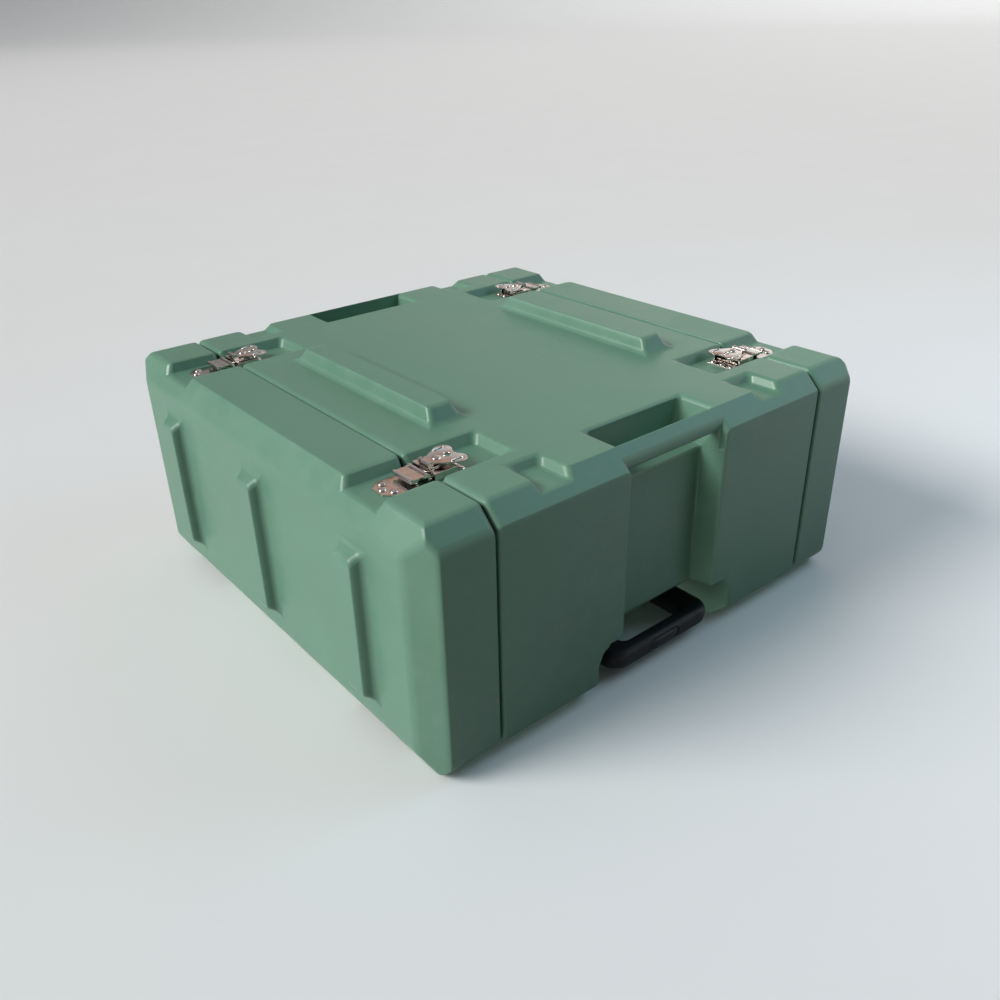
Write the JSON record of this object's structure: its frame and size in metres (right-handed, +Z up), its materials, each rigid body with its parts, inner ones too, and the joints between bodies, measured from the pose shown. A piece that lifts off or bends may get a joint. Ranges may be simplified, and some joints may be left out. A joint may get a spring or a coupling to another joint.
{
  "type": "hard equipment case",
  "caption": "Green moulded two-lid equipment case with twist latches, a shock-mounted rack, hand bars, a pull handle and wheels",
  "frame": {"origin": "middle of the flat underside", "axes": "+X from the left lid to the right lid, -Y the face with the pull handle, +Z up"},
  "size_m": [0.666, 0.64, 0.297],
  "materials": {
    "green_plastic": "semi-matte, fine moulded grain",
    "black_plastic": "matte, fine grain",
    "nickel_steel": "bright nickel plating",
    "zinc_steel": "bright zinc plating",
    "black_painted_steel": "satin powder coat",
    "handle_aluminium": "satin anodised",
    "black_rubber": "dull",
    "tyre_rubber": "dull, lightly worn"
  },
  "bodies": {
    "case": {"body_shell": "green_plastic", "seal_left": "black_rubber", "seal_right": "black_rubber", "latch_housings": "nickel_steel", "latch_rivets": "nickel_steel", "rack_side_plates": "black_painted_steel", "rack_rails": "zinc_steel", "rack_cross_bars": "black_painted_steel", "rack_bolts": "zinc_steel", "shock_rubbers": "black_rubber", "shock_flanges": "zinc_steel", "shock_screws": "zinc_steel", "handle_outer_tubes": "handle_aluminium", "handle_tube_bushes": "black_plastic", "handle_tube_brackets": "black_plastic", "channel_cover": "black_plastic", "cover_screws": "zinc_steel", "wheel_brackets": "zinc_steel", "wheel_axles": "zinc_steel"},
    "lid_left_body": {"lid_left": "green_plastic", "keepers_left": "nickel_steel", "keeper_rivets_left": "nickel_steel"},
    "lid_right_body": {"lid_right": "green_plastic", "keepers_right": "nickel_steel", "keeper_rivets_right": "nickel_steel"},
    "pull_handle": {"handle_inner_tubes": "handle_aluminium", "handle_glides": "black_plastic", "pull_grip": "black_plastic"},
    "button_body": {"release_button": "black_plastic"},
    "wheel_left": {"wheel_left_hub": "black_plastic", "wheel_left_tyre": "tyre_rubber"},
    "wheel_right": {"wheel_right_hub": "black_plastic", "wheel_right_tyre": "tyre_rubber"},
    "spindle_left_front_top": {"spindle_left_front_top": "nickel_steel"},
    "wing_left_front_top": {"wing_left_front_top": "nickel_steel"},
    "link_left_front_top": {"link_left_front_top": "nickel_steel"},
    "spindle_left_front_under": {"spindle_left_front_under": "nickel_steel"},
    "wing_left_front_under": {"wing_left_front_under": "nickel_steel"},
    "link_left_front_under": {"link_left_front_under": "nickel_steel"},
    "spindle_left_back_top": {"spindle_left_back_top": "nickel_steel"},
    "wing_left_back_top": {"wing_left_back_top": "nickel_steel"},
    "link_left_back_top": {"link_left_back_top": "nickel_steel"},
    "spindle_left_back_under": {"spindle_left_back_under": "nickel_steel"},
    "wing_left_back_under": {"wing_left_back_under": "nickel_steel"},
    "link_left_back_under": {"link_left_back_under": "nickel_steel"},
    "spindle_right_front_top": {"spindle_right_front_top": "nickel_steel"},
    "wing_right_front_top": {"wing_right_front_top": "nickel_steel"},
    "link_right_front_top": {"link_right_front_top": "nickel_steel"},
    "spindle_right_front_under": {"spindle_right_front_under": "nickel_steel"},
    "wing_right_front_under": {"wing_right_front_under": "nickel_steel"},
    "link_right_front_under": {"link_right_front_under": "nickel_steel"},
    "spindle_right_back_top": {"spindle_right_back_top": "nickel_steel"},
    "wing_right_back_top": {"wing_right_back_top": "nickel_steel"},
    "link_right_back_top": {"link_right_back_top": "nickel_steel"},
    "spindle_right_back_under": {"spindle_right_back_under": "nickel_steel"},
    "wing_right_back_under": {"wing_right_back_under": "nickel_steel"},
    "link_right_back_under": {"link_right_back_under": "nickel_steel"}
  },
  "joints": [
    {"name": "lid_left_off", "type": "slide", "parent": "case", "child": "lid_left_body", "axis": [-1, 0, 0], "range_m": [0, 0.2]},
    {"name": "lid_right_off", "type": "slide", "parent": "case", "child": "lid_right_body", "axis": [1, 0, 0], "range_m": [0, 0.2]},
    {"name": "handle_pull", "type": "slide", "parent": "case", "child": "pull_handle", "axis": [0, -1, 0], "range_m": [0, 0.32]},
    {"name": "button_press", "type": "slide", "parent": "pull_handle", "child": "button_body", "axis": [0, 1, 0], "range_m": [0, 0.005], "stiffness_N_per_m": 300},
    {"name": "wheel_left_spin", "type": "hinge", "parent": "case", "child": "wheel_left", "pos_m": [-0.143, 0.297, 0.03], "axis": [1, 0, 0], "continuous": true},
    {"name": "wheel_right_spin", "type": "hinge", "parent": "case", "child": "wheel_right", "pos_m": [0.143, 0.297, 0.03], "axis": [1, 0, 0], "continuous": true},
    {"name": "turn_left_front_top", "type": "hinge", "parent": "case", "child": "spindle_left_front_top", "pos_m": [-0.226, -0.2025, 0.2765], "axis": [0, 0, 1], "range_deg": [0, 180]},
    {"name": "fold_left_front_top", "type": "hinge", "parent": "spindle_left_front_top", "child": "wing_left_front_top", "pos_m": [-0.234, -0.2025, 0.2818], "axis": [0, -1, 0], "range_deg": [0, 90]},
    {"name": "draw_left_front_top", "type": "slide", "parent": "case", "child": "link_left_front_top", "axis": [-1, 0, 0], "range_m": [0, 0.00901]},
    {"name": "turn_left_front_under", "type": "hinge", "parent": "case", "child": "spindle_left_front_under", "pos_m": [-0.226, -0.2025, 0.01], "axis": [0, 0, 1], "range_deg": [0, 180]},
    {"name": "fold_left_front_under", "type": "hinge", "parent": "spindle_left_front_under", "child": "wing_left_front_under", "pos_m": [-0.234, -0.2025, 0.0047], "axis": [0, 1, 0], "range_deg": [0, 90]},
    {"name": "draw_left_front_under", "type": "slide", "parent": "case", "child": "link_left_front_under", "axis": [-1, 0, 0], "range_m": [0, 0.00901]},
    {"name": "turn_left_back_top", "type": "hinge", "parent": "case", "child": "spindle_left_back_top", "pos_m": [-0.226, 0.2025, 0.2765], "axis": [0, 0, 1], "range_deg": [0, 180]},
    {"name": "fold_left_back_top", "type": "hinge", "parent": "spindle_left_back_top", "child": "wing_left_back_top", "pos_m": [-0.234, 0.2025, 0.2818], "axis": [0, -1, 0], "range_deg": [0, 90]},
    {"name": "draw_left_back_top", "type": "slide", "parent": "case", "child": "link_left_back_top", "axis": [-1, 0, 0], "range_m": [0, 0.00901]},
    {"name": "turn_left_back_under", "type": "hinge", "parent": "case", "child": "spindle_left_back_under", "pos_m": [-0.226, 0.2025, 0.01], "axis": [0, 0, 1], "range_deg": [0, 180]},
    {"name": "fold_left_back_under", "type": "hinge", "parent": "spindle_left_back_under", "child": "wing_left_back_under", "pos_m": [-0.234, 0.2025, 0.0047], "axis": [0, 1, 0], "range_deg": [0, 90]},
    {"name": "draw_left_back_under", "type": "slide", "parent": "case", "child": "link_left_back_under", "axis": [-1, 0, 0], "range_m": [0, 0.00901]},
    {"name": "turn_right_front_top", "type": "hinge", "parent": "case", "child": "spindle_right_front_top", "pos_m": [0.226, -0.2025, 0.2765], "axis": [0, 0, 1], "range_deg": [0, 180]},
    {"name": "fold_right_front_top", "type": "hinge", "parent": "spindle_right_front_top", "child": "wing_right_front_top", "pos_m": [0.234, -0.2025, 0.2818], "axis": [0, 1, 0], "range_deg": [0, 90]},
    {"name": "draw_right_front_top", "type": "slide", "parent": "case", "child": "link_right_front_top", "axis": [1, 0, 0], "range_m": [0, 0.00901]},
    {"name": "turn_right_front_under", "type": "hinge", "parent": "case", "child": "spindle_right_front_under", "pos_m": [0.226, -0.2025, 0.01], "axis": [0, 0, 1], "range_deg": [0, 180]},
    {"name": "fold_right_front_under", "type": "hinge", "parent": "spindle_right_front_under", "child": "wing_right_front_under", "pos_m": [0.234, -0.2025, 0.0047], "axis": [0, -1, 0], "range_deg": [0, 90]},
    {"name": "draw_right_front_under", "type": "slide", "parent": "case", "child": "link_right_front_under", "axis": [1, 0, 0], "range_m": [0, 0.00901]},
    {"name": "turn_right_back_top", "type": "hinge", "parent": "case", "child": "spindle_right_back_top", "pos_m": [0.226, 0.2025, 0.2765], "axis": [0, 0, 1], "range_deg": [0, 180]},
    {"name": "fold_right_back_top", "type": "hinge", "parent": "spindle_right_back_top", "child": "wing_right_back_top", "pos_m": [0.234, 0.2025, 0.2818], "axis": [0, 1, 0], "range_deg": [0, 90]},
    {"name": "draw_right_back_top", "type": "slide", "parent": "case", "child": "link_right_back_top", "axis": [1, 0, 0], "range_m": [0, 0.00901]},
    {"name": "turn_right_back_under", "type": "hinge", "parent": "case", "child": "spindle_right_back_under", "pos_m": [0.226, 0.2025, 0.01], "axis": [0, 0, 1], "range_deg": [0, 180]},
    {"name": "fold_right_back_under", "type": "hinge", "parent": "spindle_right_back_under", "child": "wing_right_back_under", "pos_m": [0.234, 0.2025, 0.0047], "axis": [0, -1, 0], "range_deg": [0, 90]},
    {"name": "draw_right_back_under", "type": "slide", "parent": "case", "child": "link_right_back_under", "axis": [1, 0, 0], "range_m": [0, 0.00901]}
  ],
  "couplings": [
    {"joint": "draw_left_front_top", "follows": "turn_left_front_top", "m_per_rad": 0.0028648},
    {"joint": "draw_left_front_under", "follows": "turn_left_front_under", "m_per_rad": 0.0028648},
    {"joint": "draw_left_back_top", "follows": "turn_left_back_top", "m_per_rad": 0.0028648},
    {"joint": "draw_left_back_under", "follows": "turn_left_back_under", "m_per_rad": 0.0028648},
    {"joint": "draw_right_front_top", "follows": "turn_right_front_top", "m_per_rad": 0.0028648},
    {"joint": "draw_right_front_under", "follows": "turn_right_front_under", "m_per_rad": 0.0028648},
    {"joint": "draw_right_back_top", "follows": "turn_right_back_top", "m_per_rad": 0.0028648},
    {"joint": "draw_right_back_under", "follows": "turn_right_back_under", "m_per_rad": 0.0028648}
  ]
}
